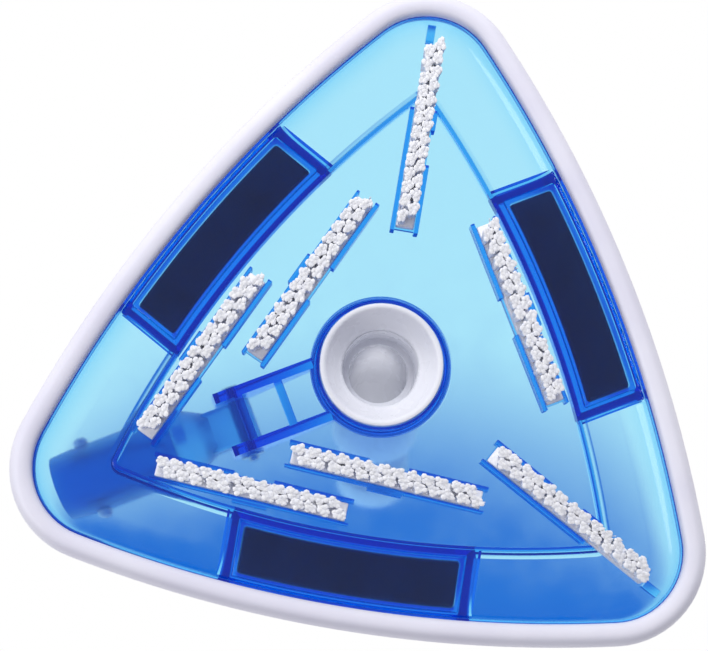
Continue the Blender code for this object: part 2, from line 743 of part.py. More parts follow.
def make_handle(pivot, finish):
    """Tube for a telescopic pole, with a tongue and hub between the ears. Its origin is on the hinge axis."""
    front = TUBE_START - 8 * MM
    profile = [
        (0.0, front - 3 * MM),
        (HUB_HALF - 0.4 * MM, front - 3 * MM),
        (TUBE_RADIUS, TUBE_START),
        (TUBE_RADIUS, TUBE_END - 0.8 * MM),
        (TUBE_RADIUS - 0.8 * MM, TUBE_END),
        (TUBE_BORE, TUBE_END),
        (TUBE_BORE, TUBE_START + 8 * MM),
        (TUBE_BORE - 2 * MM, TUBE_START + 6 * MM),
        (0.0, TUBE_START + 6 * MM),
    ]
    handle = place(turned_solid("handle", profile, (0, 1, 0), 32), assembly, pivot, finish)
    hub = cylinder("hub", HUB_RADIUS, -HUB_HALF, HUB_HALF, 28, "X")
    across, deep = HUB_HALF - 0.3 * MM, HUB_RADIUS - 0.3 * MM
    tongue = box("tongue", (-across, 0, -deep), (across, front, deep))
    bore = cylinder("hub_bore", PIN_RADIUS + PIN_CLEARANCE, -2 * HUB_HALF, 2 * HUB_HALF, 24, "X")
    through = 2 * TUBE_RADIUS
    hole_place = (BUTTON_PLACE + BUTTON_SWING, 0)
    holes = cylinder("button_holes", BUTTON_HOLE, -through, through, 24, "X", hole_place)
    for operation, other in (("UNION", hub), ("UNION", tongue), ("DIFFERENCE", bore), ("DIFFERENCE", holes)):
        place(other, cutters, pivot)
        boolean(handle, operation, other)
    smooth(handle)


def make_hinge_pin(parent, metal):
    """Headed pin through the ears, kept by a push-on washer."""
    outside = EAR_INNER + EAR
    head_z = -outside - CLEARANCE
    profile = [
        (0.0, head_z - 1.8 * MM),
        (4.0 * MM, head_z - 1.8 * MM),
        (4.6 * MM, head_z - 1.2 * MM),
        (4.6 * MM, head_z),
        (PIN_RADIUS, head_z),
        (PIN_RADIUS, outside + 2.6 * MM),
        (PIN_RADIUS - 0.5 * MM, outside + 3.1 * MM),
        (0.0, outside + 3.1 * MM),
    ]
    pin = place(turned_solid("hinge_pin", profile, (1, 0, 0), 20), assembly, parent, metal)
    pin.location = (0, PIVOT_Y, PIVOT_Z)
    smooth(pin)
    inner, outer = PIN_RADIUS + CLEARANCE, 5.2 * MM
    profile = [(outer, 1.0 * MM), (outer, 0), (inner, 0), (inner, 1.0 * MM)]
    washer = place(turned("pin_washer", profile, 24), assembly, parent, metal)
    washer.location = (outside + CLEARANCE, PIVOT_Y, PIVOT_Z)
    washer.rotation_euler.y = math.radians(90)


def strip(name, path, thickness, half_width):
    """A flat spring strip that follows a path of (x, y) at one thickness."""
    left, right = [], []
    for i, (x, y) in enumerate(path):
        before, after = path[max(i - 1, 0)], path[min(i + 1, len(path) - 1)]
        along = Vector((after[0] - before[0], after[1] - before[1])).normalized()
        side = Vector((-along.y, along.x)) * thickness / 2
        left.append((x + side.x, y + side.y))
        right.append((x - side.x, y - side.y))
    return prism(name, left + right[::-1], -half_width, half_width)


def make_pole_clip(pivot, steel, finish):
    """Spring clip in the tube: a fixed bend and two arms, each with a button that shows through the wall."""
    arc = [
        (SPRING_BEND * math.cos(a), SPRING_PLACE - SPRING_BEND * math.sin(a))
        for a in (math.radians(20 * i) for i in range(10))
    ]
    place(strip("clip_bend", arc, SPRING_STRIP, SPRING_WIDTH / 2), assembly, pivot, steel)
    for name, side in (("left", -1), ("right", 1)):
        hinge = bpy.data.objects.new(f"clip_{name}_axis", None)
        place_empty(hinge, pivot, (side * SPRING_BEND, SPRING_PLACE, 0))
        out = SPRING_SPREAD - SPRING_BEND
        path = [
            (0.0, CLEARANCE),
            (0.0, 2 * MM),
            (side * out, 16 * MM),
            (side * out, BUTTON_PLACE - SPRING_PLACE + 5 * MM),
        ]
        arm = strip(f"clip_arm_{name}", path, SPRING_STRIP, SPRING_WIDTH / 2)
        place(arm, assembly, hinge, steel)
        seat = out + SPRING_STRIP / 2 + CLEARANCE
        stop = math.sqrt(TUBE_BORE**2 - (BUTTON_RADIUS + 1.4 * MM) ** 2) - SPRING_BEND - CLEARANCE
        tip = TUBE_RADIUS + BUTTON_PROUD - SPRING_BEND
        profile = [
            (0.0, tip),
            (BUTTON_RADIUS * 0.6, tip - 0.4 * MM),
            (BUTTON_RADIUS, tip - 1.6 * MM),
            (BUTTON_RADIUS, stop),
            (BUTTON_RADIUS + 1.4 * MM, stop),
            (BUTTON_RADIUS + 1.4 * MM, seat),
            (0.0, seat),
        ]
        middle = (0, BUTTON_PLACE - SPRING_PLACE, 0)
        button = turned_solid(f"snap_button_{name}", profile, (side, 0, 0), 20, middle)
        place(button, assembly, hinge, finish)
        smooth(button)


# ---------------------------------------------------------------- assembly


def main():
    clear_scene()
    clear_blue = material("clear_blue_plastic", (0.10, 0.46, 0.90), 0.12)
    handle_blue = material("handle_blue_plastic", (0.04, 0.20, 0.72), 0.2)
    vinyl = material("white_vinyl", (0.90, 0.90, 0.93), 0.45)
    white = material("white_abs", (0.86, 0.88, 0.92), 0.3)
    bristle = material("white_bristle", (0.93, 0.93, 0.93), 0.6)
    weight_metal = material("coated_weight", (0.05, 0.08, 0.15), 0.5)
    steel = material("stainless_steel", (0.70, 0.71, 0.72), 0.25, 1.0)
    rubber = material("black_rubber", (0.03, 0.03, 0.03), 0.6)

    outer = three_sided(SIDE_REACH, SIDE_RADIUS, CORNER_RADIUS, BUMPER_PROUD)
    middle_y = (max(p.y for p in outer) + min(p.y for p in outer)) / 2
    head = bpy.data.objects.new("head", None)
    place_empty(head, None, (0, -middle_y, 0))

    make_shell(head, clear_blue)
    make_bumper(head, vinyl)
    make_weights(head, weight_metal, clear_blue)
    make_brushes(head, bristle)

    make_port_ring(head, white)
    make_elbow(head, white)
    make_seal(head, rubber)

    pivot = bpy.data.objects.new("handle_axis", None)
    place_empty(pivot, head, (0, PIVOT_Y, PIVOT_Z))
    make_handle(pivot, handle_blue)
    make_hinge_pin(head, steel)
    make_pole_clip(pivot, steel, white)


main()
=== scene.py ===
import math
import random

import bmesh
import bpy
from mathutils import Matrix, Vector


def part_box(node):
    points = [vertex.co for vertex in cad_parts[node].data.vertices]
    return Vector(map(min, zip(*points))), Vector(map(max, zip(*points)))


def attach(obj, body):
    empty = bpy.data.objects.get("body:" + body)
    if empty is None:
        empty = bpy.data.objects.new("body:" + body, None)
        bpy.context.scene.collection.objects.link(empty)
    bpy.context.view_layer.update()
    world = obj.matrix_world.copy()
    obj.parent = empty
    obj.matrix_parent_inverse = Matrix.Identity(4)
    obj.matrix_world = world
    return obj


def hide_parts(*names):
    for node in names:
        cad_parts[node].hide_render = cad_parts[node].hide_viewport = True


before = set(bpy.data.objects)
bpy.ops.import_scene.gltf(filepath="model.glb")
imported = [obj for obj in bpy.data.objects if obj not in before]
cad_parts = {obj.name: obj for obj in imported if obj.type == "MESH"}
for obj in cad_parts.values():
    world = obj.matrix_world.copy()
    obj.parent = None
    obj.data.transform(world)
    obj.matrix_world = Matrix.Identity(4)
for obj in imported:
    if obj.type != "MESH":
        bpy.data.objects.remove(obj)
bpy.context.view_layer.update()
mm = 0.001
weld = 1e-6  # points closer than this are one

ringLow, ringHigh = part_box("swivel_ring")
portY = (ringLow.y + ringHigh.y) / 2
pinLow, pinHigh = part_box("hinge_pin")
pivot = Vector((0, (pinLow.y + pinHigh.y) / 2, (pinLow.z + pinHigh.z) / 2))
print("frame loaded, port axis at y", round(portY, 5))


# materials

def toLinear(code):
    parts = [int(code[i:i + 2], 16) / 255 for i in (1, 3, 5)]
    return [p / 12.92 if p <= 0.04045 else ((p + 0.055) / 1.055) ** 2.4 for p in parts]


def addNode(tree, kind, inputs, **settings):
    node = tree.nodes.new(kind)
    for key, value in settings.items():
        setattr(node, key, value)
    for key, value in inputs.items():
        if isinstance(value, bpy.types.NodeSocket):
            tree.links.new(value, node.inputs[key])
        else:
            node.inputs[key].default_value = value
    return node


def startMaterial(name, settings):
    made = bpy.data.materials.new(name)
    made.use_nodes = True
    tree = made.node_tree
    shader = tree.nodes["Principled BSDF"]
    for key, value in settings.items():
        shader.inputs[key].default_value = value
    place = addNode(tree, "ShaderNodeTexCoord", {}).outputs["Object"]
    return made, tree, shader, place


def grain(tree, place, size, detail=2.0, roughness=0.5):  # noise whose lumps are about size across
    inputs = {"Vector": place, "Scale": 0.5 / size, "Detail": detail, "Roughness": roughness}
    return addNode(tree, "ShaderNodeTexNoise", inputs).outputs["Fac"]


def spread(tree, value, low, high, fromLow=0.3, fromHigh=0.7):
    inputs = {"Value": value, "From Min": fromLow, "From Max": fromHigh, "To Min": low, "To Max": high}
    return addNode(tree, "ShaderNodeMapRange", inputs).outputs["Result"]


def mixColour(tree, value, first, second):
    mix = addNode(tree, "ShaderNodeMix", {0: value}, data_type="RGBA")
    for index, colour in ((6, first), (7, second)):
        if isinstance(colour, bpy.types.NodeSocket):
            tree.links.new(colour, mix.inputs[index])
        else:
            mix.inputs[index].default_value = colour
    return mix.outputs[2]


def tinted(tree, value, darkCode, lightCode):
    return mixColour(tree, value, (*toLinear(darkCode), 1), (*toLinear(lightCode), 1))


def roughen(tree, shader, height, depth):  # depth in metres
    bump = addNode(tree, "ShaderNodeBump", {"Height": height, "Distance": depth, "Strength": 1.0})
    tree.links.new(bump.outputs["Normal"], shader.inputs["Normal"])


# clear tinted polycarbonate, injection moulded: a wall is pale aqua, and a rib seen on its edge is deep blue;
# the whole surface also has a faint painted blue glow
clearBlueLook = {"ior": 1.56, "tint": (0.0, 0.69, 0.968), "density": 400.0, "ripple": 14 * mm,
                 "depth": 0.03 * mm, "paintedGlowColour": (0.0, 0.17, 1.0), "paintedGlowStrength": 0.07}


def makeClearBlue(name, look):
    made, tree, shader, place = startMaterial(name, {
        "Base Color": (1, 1, 1, 1), "Transmission Weight": 1.0, "IOR": look["ior"], "Roughness": 0.02,
        # painted glow: the whole surface gives off a faint blue light of its own, standing in for the light
        # caught in thick edges
        "Emission Color": (*look["paintedGlowColour"], 1), "Emission Strength": look["paintedGlowStrength"]})
    inside = {"Color": (*look["tint"], 1), "Density": look["density"]}
    absorb = addNode(tree, "ShaderNodeVolumeAbsorption", inside)
    tree.links.new(absorb.outputs["Volume"], tree.nodes["Material Output"].inputs["Volume"])
    tree.links.new(spread(tree, grain(tree, place, 6 * mm), 0.1, 0.17), shader.inputs["Roughness"])
    roughen(tree, shader, grain(tree, place, look["ripple"], 1.0), look["depth"])
    return made


clearBlue = makeClearBlue("clearBluePolycarbonate", clearBlueLook)
# a thin plate, so its edges hold little light, and its painted glow is fainter
coverBlue = makeClearBlue("clearBlueSheet", {**clearBlueLook, "paintedGlowStrength": 0.012})


# mottle and lumps are a grain's size, detail and roughness; gloss is its size and the roughness from and to
def makeFinish(name, settings, look):
    made, tree, shader, place = startMaterial(name, settings)
    colour = tinted(tree, spread(tree, grain(tree, place, *look["mottle"]), 0, 1), *look["colours"])
    tree.links.new(colour, shader.inputs["Base Color"])
    if "gloss" in look:
        size, low, high = look["gloss"]
        tree.links.new(spread(tree, grain(tree, place, size), low, high), shader.inputs["Roughness"])
    if "lumps" in look:
        roughen(tree, shader, grain(tree, place, *look["lumps"]), look["depth"])
    return made


# the same blue with more pigment, tumbled: light comes through it, but little can be made out behind it
handleBlue = makeFinish(
    "smokedBluePolycarbonate", {"IOR": 1.56, "Transmission Weight": 0.86},
    {"colours": ("#52a5f3", "#6ebbfa"), "mottle": (22 * mm,), "gloss": (4 * mm, 0.3, 0.4),
     "lumps": (3 * mm,), "depth": 0.03 * mm})

# soft white PVC, extruded: satin, faintly mottled, with a fine orange peel
vinyl = makeFinish(
    "softWhiteVinyl", {"IOR": 1.53, "Subsurface Weight": 0.08, "Subsurface Radius": (1.0, 0.9, 0.9),
                       "Subsurface Scale": 1.2 * mm},
    {"colours": ("#e4e2ef", "#f1f0f8"), "mottle": (26 * mm, 3.0), "gloss": (7 * mm, 0.32, 0.46),
     "lumps": (1.6 * mm, 3.0), "depth": 0.05 * mm})

# ABS, injection moulded: smoother and a little greyer than the vinyl
whiteAbs = makeFinish(
    "mouldedWhiteAbs", {"IOR": 1.53},
    {"colours": ("#e4e6ee", "#f1f2f7"), "mottle": (18 * mm,), "gloss": (4 * mm, 0.22, 0.34),
     "lumps": (2.4 * mm,), "depth": 0.02 * mm})

# nylon filament, cut: milky white, with a faint unevenness from filament to filament
nylon = makeFinish(
    "whiteNylon", {"IOR": 1.53, "Roughness": 0.5, "Subsurface Weight": 0.3,
                   "Subsurface Radius": (1.0, 1.0, 1.1), "Subsurface Scale": 1.0 * mm},
    {"colours": ("#f0f2fa", "#fefeff"), "mottle": (0.9 * mm,), "lumps": (0.5 * mm,), "depth": 0.05 * mm})

# cast iron in a dipped navy epoxy coat: satin, with the sand cast's low lumps showing through
coatedIron = makeFinish(
    "navyCoatedIron", {"IOR": 1.5, "Coat Weight": 0.3, "Coat Roughness": 0.2},
    {"colours": ("#062756", "#0f3f7a"), "mottle": (9 * mm, 4.0), "gloss": (2 * mm, 0.38, 0.6),
     "lumps": (3 * mm, 4.0, 0.6), "depth": 0.25 * mm})

# nitrile rubber, pressed: matt black
rubber = makeFinish(
    "nitrileRubber", {"IOR": 1.52},
    {"colours": ("#141414", "#232323"), "mottle": (3 * mm,), "gloss": (1 * mm, 0.5, 0.7)})

# stainless spring strip and pin, rolled: bright with a fine lengthwise grain
steelLook = {"colours": ("#b9bbbf", "#d6d8da"), "mottle": 5 * mm, "line": 0.35 * mm, "stretch": (1, 0.08, 1),
             "depth": 0.01 * mm}


def makeSteel(look):
    made, tree, shader, place = startMaterial("rolledStainless", {"Metallic": 1.0})
    colour = tinted(tree, spread(tree, grain(tree, place, look["mottle"]), 0, 1), *look["colours"])
    tree.links.new(colour, shader.inputs["Base Color"])
    stretched = addNode(tree, "ShaderNodeMapping", {"Vector": place, "Scale": look["stretch"]})
    lines = grain(tree, stretched.outputs["Vector"], look["line"], 3.0)
    tree.links.new(spread(tree, lines, 0.18, 0.34), shader.inputs["Roughness"])
    roughen(tree, shader, lines, look["depth"])
    return made


steel = makeSteel(steelLook)
print("materials made")


# shaping

bodyShape = {"reach": 103 * mm, "bow": 557 * mm, "corner": 30 * mm}
plateauShape = {"reach": 72.3 * mm, "bow": 440 * mm, "corner": 2 * mm}
steps = {"side": 32, "corner": 16, "bow": 20, "ear": 14}


def sweepPoint(bm, start, centre, angle, count, axis=(0, 0, 1)):  # a point turned into an arc of edges
    first = bm.verts.new(start)
    swept = bmesh.ops.spin(bm, geom=[first], cent=centre, axis=axis, angle=angle, steps=count)
    return first, swept["geom_last"][0]


def outlineLoop(bm, shape, grow, z):  # three bowed sides joined by round corners, pushed out by grow
    known = set(bm.edges)
    back, link = shape["bow"] - shape["reach"], shape["bow"] - shape["corner"]
    corner = (math.sqrt(4 * link**2 - 3 * back**2) - back) / 2
    half = math.atan2(corner * math.sin(math.pi / 3), corner * math.cos(math.pi / 3) + back)
    turn = math.pi / 3 - half
    for side in (-90, 30, 150):
        normal = math.radians(side)
        arcs = (
            (-back, normal, normal - half, half, shape["bow"], steps["side"]),
            (corner, normal + math.pi / 3, normal + half, turn, shape["corner"], steps["corner"]),
        )
        for away, facing, start, spanHalf, radius, count in arcs:
            centre = Vector((math.cos(facing) * away, math.sin(facing) * away, z))
            ray = Vector((math.cos(start), math.sin(start), 0)) * (radius + grow)
            sweepPoint(bm, centre + ray, centre, 2 * spanHalf, count)
    fresh = [e for e in bm.edges if e not in known]
    bmesh.ops.remove_doubles(bm, verts=list(dict.fromkeys(v for e in fresh for v in e.verts)), dist=weld)
    return [e for e in bm.edges if e not in known]


def bowLoop(bm, inner, outer, half, z):  # outline of a bowed bar across the front side
    known = set(bm.edges)
    ends = []
    bows = (
        (inner, plateauShape["bow"] + inner - plateauShape["reach"]),
        (outer, bodyShape["bow"] + outer - bodyShape["reach"]),
    )
    for reach, radius in bows:
        start = (-half, radius - reach - math.sqrt(radius**2 - half**2), z)
        ends.append(sweepPoint(bm, start, (0, radius - reach, z), 2 * math.asin(half / radius), steps["bow"]))
    for a, b in zip(*ends):
        bm.edges.new((a, b))
    return [e for e in bm.edges if e not in known]


def bridgeAll(bm, loops, closed=False):
    lift = Vector((0, 0, 60 * mm))
    for low, high in zip(loops, loops[1:] + (loops[:1] if closed else [])):
        verts = list(dict.fromkeys(v for e in high for v in e.verts))
        # apart for a moment, because loops in one plane bridge crosswise
        bmesh.ops.translate(bm, verts=verts, vec=lift)
        bmesh.ops.bridge_loops(bm, edges=low + high)
        bmesh.ops.translate(bm, verts=verts, vec=-lift)
    if not closed:
        bmesh.ops.edgeloop_fill(bm, edges=loops[0])
        bmesh.ops.edgeloop_fill(bm, edges=loops[-1])


def bevelSharp(bm, width, segments=3, least=40, only=None):
    bmesh.ops.recalc_face_normals(bm, faces=bm.faces[:])
    picked = [
        e for e in bm.edges
        if e.is_manifold and e.calc_face_angle(0) > math.radians(least) and (only is None or only(e))
    ]
    bmesh.ops.bevel(bm, geom=picked, offset=width, offset_type="OFFSET", segments=segments, profile=0.5,
                    affect="EDGES", material=-1, clamp_overlap=True)


def addBox(bm, low, high):
    made = bmesh.ops.create_cube(bm, size=1)["verts"]
    bmesh.ops.scale(bm, verts=made, vec=[b - a for a, b in zip(low, high)])
    bmesh.ops.translate(bm, verts=made, vec=[(a + b) / 2 for a, b in zip(low, high)])


def spinProfile(points, axis=(0, 0, 1), count=96, closed=True):  # (radius, length) points spun round an axis
    along = Vector(axis)
    across = Vector((1, 0, 0)) if along.x < 0.5 else Vector((0, 0, 1))
    bm = bmesh.new()
    verts = [bm.verts.new(across * r + along * z) for r, z in points]
    for a, b in zip(verts, verts[1:] + (verts[:1] if closed else [])):
        bm.edges.new((a, b))
    bmesh.ops.spin(bm, geom=bm.verts[:] + bm.edges[:], cent=(0, 0, 0), axis=axis, angle=math.tau, steps=count,
                   use_merge=True)
    bmesh.ops.remove_doubles(bm, verts=bm.verts[:], dist=weld)
    bmesh.ops.recalc_face_normals(bm, faces=bm.faces[:])
    return bm


def crossBore(radius, reach):  # a cutter for a hole from side to side
    return spinProfile([(0, -reach), (radius, -reach), (radius, reach), (0, reach)], (1, 0, 0), 48, False)


def toObject(name, bm, move=(0, 0, 0), turn=0):
    bmesh.ops.remove_doubles(bm, verts=bm.verts[:], dist=weld)
    bmesh.ops.recalc_face_normals(bm, faces=bm.faces[:])
    mesh = bpy.data.meshes.new(name)
    bm.to_mesh(mesh)
    bm.free()
    mesh.transform(Matrix.Translation(move) @ Matrix.Rotation(math.radians(turn), 4, "Z"))
    made = bpy.data.objects.new(name, mesh)
    bpy.context.scene.collection.objects.link(made)
    return made


def joinAndCut(target, joins, cuts):  # adds the joins, takes out the cuts, and removes both
    for operation, helpers in (("UNION", joins), ("DIFFERENCE", cuts)):
        group = bpy.data.collections.new(operation.lower())
        for helper in helpers:
            group.objects.link(helper)
        step = target.modifiers.new(operation, "BOOLEAN")
        step.operation, step.solver = operation, "EXACT"
        step.operand_type, step.collection = "COLLECTION", group
    bpy.context.view_layer.update()
    mesh = bpy.data.meshes.new_from_object(target.evaluated_get(bpy.context.evaluated_depsgraph_get()))
    target.modifiers.clear()
    target.data = mesh
    for helper in joins + cuts:
        bpy.data.objects.remove(helper)


def finishPiece(piece, body, material, node, sharp=32):
    piece.data.materials.clear()
    piece.data.materials.append(material)
    piece.data.polygons.foreach_set("material_index", [0] * len(piece.data.polygons))
    piece.data.shade_smooth()
    piece.data.set_sharp_from_angle(angle=math.radians(sharp))
    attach(piece, body)
    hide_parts(node)


def openEdges(piece):
    bm = bmesh.new()
    bm.from_mesh(piece.data)
    count = sum(not e.is_manifold for e in bm.edges)
    bm.free()
    return count


# shell

shell = {
    "wall": 2.6 * mm, "rimZ": 10.2 * mm, "skirtZ": 17 * mm, "roll": 12 * mm, "grip": 5.2 * mm,
    "plateauZ": 19.5 * mm, "rib": 1.7 * mm, "ribZ": 12.9 * mm, "round": 0.4 * mm, "rollSteps": 10,
    "inset": 1 * mm, "cove": 0.6 * mm,
}
pocket = {
    "half": 53.8 * mm, "draft": 1.2 * mm, "bottom": 13.1 * mm, "root": 72.7 * mm, "outer": 103.9 * mm,
    "top": 27.7 * mm, "gap": 0.5 * mm, "lap": 2.5 * mm, "soft": 0.8 * mm, "corner": 1.6 * mm,
    "hollowZ": (12.3 * mm, 24.9 * mm), "seatZ": (9.6 * mm, 15.45 * mm),
}
weight = {"half": 45.5 * mm, "inner": 79.3 * mm, "outer": 97.6 * mm, "z": 15.6 * mm, "height": 9 * mm,
          "soft": 1.4 * mm}
cover = {"lap": 2.2 * mm, "top": 15.3 * mm, "thick": 2 * mm, "soft": 0.5 * mm}
strip = {"length": 82 * mm, "width": 8 * mm, "baseZ": 12.2 * mm, "top": 16.6 * mm}
rail = {
    "z": 11.6 * mm, "top": 20.1 * mm, "wide": 1.8 * mm, "thin": 1.2 * mm, "thick": 2.6 * mm, "gap": 17 * mm,
    "thickPart": (-7 * mm, 8 * mm), "cornerEnd": 12 * mm, "cornerBreak": (-12.5 * mm, 3 * mm),
}
stripSeat = {"floorZ": (16 * mm, 19.9 * mm), "slotTop": 16.9 * mm, "stop": (0.8 * mm, 4.4 * mm),
             "stopTop": 17.3 * mm}
port = {"bore": 26.7 * mm, "z": 14 * mm, "top": 33 * mm, "shoulder": 29.7 * mm, "throat": 22.8 * mm,
        "lip": 1.3 * mm, "wall": 2.1 * mm, "cove": 2.6 * mm, "soft": 0.7 * mm}
ear = {"inner": 9.7 * mm, "thick": 4.5 * mm, "round": 8.5 * mm, "pinY": 64 * mm, "pinZ": 37.6 * mm,
       "pin": 2.8 * mm, "sweep": 105, "ties": (43.5 * mm, 61.5 * mm), "tie": 3.6 * mm,
       "tieZ": (21.2 * mm, 29.1 * mm)}
sides = {"front": 0, "rear_right": 120, "rear_left": 240}
stripPlaces = {
    "brush_front": (0, -63.2 * mm, 0, -1), "brush_corner_right": (87.3 * mm, -51 * mm, -30.3, 1),
    "brush_inner_right": (45.5 * mm, 15.2 * mm, -55.8, 1), "brush_rear_right": (30.3 * mm, 70 * mm, -55.8, 1),
}
for name, (x, y, turn, side) in list(stripPlaces.items()):
    if name.endswith("right"):  # its mirror image stands on the left
        stripPlaces[name.replace("right", "left")] = (-x, y, 180 - turn, -1)


def shellPan():
    wall, lip, cove, inset = shell["wall"], shell["round"], shell["cove"], shell["inset"]
    drop = shell["skirtZ"] - shell["rimZ"]
    turns = [math.pi / 2 * i / shell["rollSteps"] for i in range(shell["rollSteps"] + 1)]
    top = shell["plateauZ"] + wall
    rib, ribZ, skirtZ = shell["rib"], shell["ribZ"], shell["skirtZ"]
    inside = [(0, shell["plateauZ"]), (0, ribZ + lip), (0.12 * mm, ribZ + 0.12 * mm), (lip, ribZ),
              (rib - lip, ribZ), (rib - 0.12 * mm, ribZ + 0.12 * mm), (rib, ribZ + lip),
              (rib, skirtZ - cove), (rib + 0.18 * mm, skirtZ - 0.18 * mm), (rib + cove, skirtZ)]
    roll, rimZ = shell["roll"], shell["rimZ"]
    rollDown = [(roll * (math.sin(t) - 1) - inset, rimZ + drop * math.cos(t)) for t in turns]
    rollBack = [((roll + wall) * math.sin(t) - roll - inset, rimZ + wall + drop * math.cos(t))
                for t in turns[::-1]]
    outside = [(rib + wall + cove, skirtZ + wall), (rib + wall, skirtZ + wall + 0.2 * mm),
               (rib + 0.5 * wall, skirtZ + wall + 0.9 * mm), (rib + 0.3 * wall, top - 0.8 * mm),
               (rib, top - 0.2 * mm), (rib - 0.3 * wall, top)]
    bm = bmesh.new()
    rim = [(shell["grip"], rimZ), (shell["grip"], rimZ + wall)]
    section = inside + rollDown + rim + rollBack + outside
    middle = range(len(inside), len(section) - len(outside))
    loops = [outlineLoop(bm, bodyShape if i in middle else plateauShape, *p) for i, p in enumerate(section)]
    bridgeAll(bm, loops)
    return toObject("shellBody", bm)


def pocketSolids(turn):  # the housing over a weight, its hollow, and the seat of its cover
    draft, gap, wall = pocket["draft"], pocket["gap"], shell["wall"]
    root, outer, half = pocket["root"], pocket["outer"], pocket["half"]
    rows = (
        (root, outer, half, pocket["bottom"]),
        (root, outer, half - draft, shell["skirtZ"] + wall / 2),
        (root, outer - draft, half - 2 * draft, shell["plateauZ"] + wall + 0.6 * mm),
        (weight["inner"] - gap - wall, weight["outer"] + gap + wall, weight["half"] + gap + wall,
         pocket["top"]),
    )

    def upright(edge):
        return abs(edge.verts[0].co.z - edge.verts[1].co.z) > 2 * mm

    housing = bmesh.new()
    bridgeAll(housing, [bowLoop(housing, *row) for row in rows])
    above = pocket["bottom"] + 1 * mm  # the lowest edges stay sharp, inside the skirt
    bevelSharp(housing, pocket["soft"], 3, 25, lambda e: min(v.co.z for v in e.verts) > above or upright(e))
    made = [housing]
    for room, heights in ((gap, pocket["hollowZ"]), (pocket["lap"], pocket["seatZ"])):
        bm = bmesh.new()
        edge = (weight["inner"] - room, weight["outer"] + room, weight["half"] + room)
        bridgeAll(bm, [bowLoop(bm, *edge, z) for z in heights])
        bevelSharp(bm, pocket["corner"], 4, 40, upright)
        made.append(bm)
    return [toObject("pocketPart", bm, turn=turn) for bm in made]


def railRuns(name):  # the rails beside a strip, as side, thickness, start and end along it
    half, gap = strip["length"] / 2 + 2 * mm, rail["gap"] / 2
    if "corner" in name:
        stop, again = rail["cornerBreak"]
        return [(1, rail["wide"], -half, rail["cornerEnd"]), (-1, rail["wide"], -half, stop),
                (-1, rail["wide"], again, rail["cornerEnd"])]
    return [(1, rail["thin"], -half, half), (1, rail["thick"], *rail["thickPart"]),
            (-1, rail["wide"], -half, -gap), (-1, rail["wide"], gap, half)]


def seatSolids(name, x, y, turn, side):  # rails, floor and end stop of one strip, and the slot it sits in
    slot = strip["width"] / 2 + 0.3 * mm
    reach = strip["length"] / 2 + 0.5 * mm
    boxes = []
    for hand, thick, start, end in railRuns(name):
        uneven = 0.1 * thick  # rails of different thickness don't end in one plane
        low, high = sorted((hand * side * (slot - 0.1 * mm - 0.05 * thick), hand * side * (slot + thick)))
        boxes.append(((start, low, rail["z"] + uneven), (end, high, rail["top"] - uneven)))
    floorEnd = rail["cornerEnd"] - 1 * mm if "corner" in name else reach
    floorLow, floorHigh = stripSeat["floorZ"]
    boxes.append(((-reach, -slot - 0.5 * mm, floorLow), (floorEnd, slot + 0.5 * mm, floorHigh)))
    if "corner" in name:
        low, high = sorted(side * across for across in stripSeat["stop"])
        boxes.append(((reach + 0.2 * mm, low, rail["z"]), (reach + 8 * mm, high, stripSeat["stopTop"])))
    joins = []
    for low, high in boxes:
        bm = bmesh.new()
        addBox(bm, low, high)
        bevelSharp(bm, 0.3 * mm, 2)
        joins.append(toObject("railPart", bm, (x, y, 0), turn))
    bm = bmesh.new()
    addBox(bm, (-reach - 3 * mm, -slot, 0), (reach + 0.7 * mm, slot, stripSeat["slotTop"]))
    return joins, toObject("slotPart", bm, (x, y, 0), turn)


def earSolid(low, high):
    near, foot = port["bore"] - 0.5 * mm, shell["plateauZ"] + shell["wall"] - 0.6 * mm
    bm = bmesh.new()
    pin = Vector((low, ear["pinY"], ear["pinZ"]))
    angle = math.radians(ear["sweep"])
    start = pin + Vector((0, math.cos(angle), math.sin(angle))) * ear["round"]
    first, last = sweepPoint(bm, start, pin, -angle, steps["ear"], (1, 0, 0))
    rest = [(low, ear["pinY"] + ear["round"] - 1 * mm, foot), (low, near, foot),
            (low, near, port["top"] - 1.5 * mm)]
    chain = [last] + [bm.verts.new(p) for p in rest] + [first]
    for a, b in zip(chain, chain[1:]):
        bm.edges.new((a, b))
    face = bmesh.ops.edgeloop_fill(bm, edges=bm.edges[:])["faces"]
    grown = bmesh.ops.extrude_face_region(bm, geom=face)["geom"]
    moved = [v for v in grown if isinstance(v, bmesh.types.BMVert)]
    bmesh.ops.translate(bm, verts=moved, vec=(high - low, 0, 0))
    bevelSharp(bm, 0.7 * mm, 3, 40, lambda e: min(v.co.z for v in e.verts) > foot + 1 * mm)
    return toObject("earPart", bm)


def collarSolids():
    z, top, shoulder, soft = port["z"], port["top"], port["shoulder"], port["soft"]
    wall, low, cove = port["bore"] + port["wall"], port["bore"] + port["lip"], port["cove"]
    floor = shell["plateauZ"] + 0.2 * mm
    foot = floor + shell["wall"] - 0.3 * mm
    sweep = [math.radians(270 - 15 * i) for i in range(7)]
    outside = [(0, z), (low - 0.4 * mm, z), (low, z + 0.4 * mm), (low, floor), (wall + cove, floor)]
    outside += [(wall + cove + cove * math.cos(a), foot + cove + cove * math.sin(a)) for a in sweep]
    outside += [(wall, top - soft), (wall - 0.2 * mm, top - 0.2 * mm), (wall - soft, top), (0, top)]
    past = 0.6 * mm  # the cuts start and end outside what they cut
    bore = [(0, z - past), (port["bore"], z - past), (port["bore"], shoulder), (0, shoulder)]
    throat = [(0, shoulder - past), (port["throat"], shoulder - past), (port["throat"], top + past),
              (0, top + past)]
    return [toObject("collarPart", spinProfile(p, closed=False)) for p in (outside, bore, throat)]


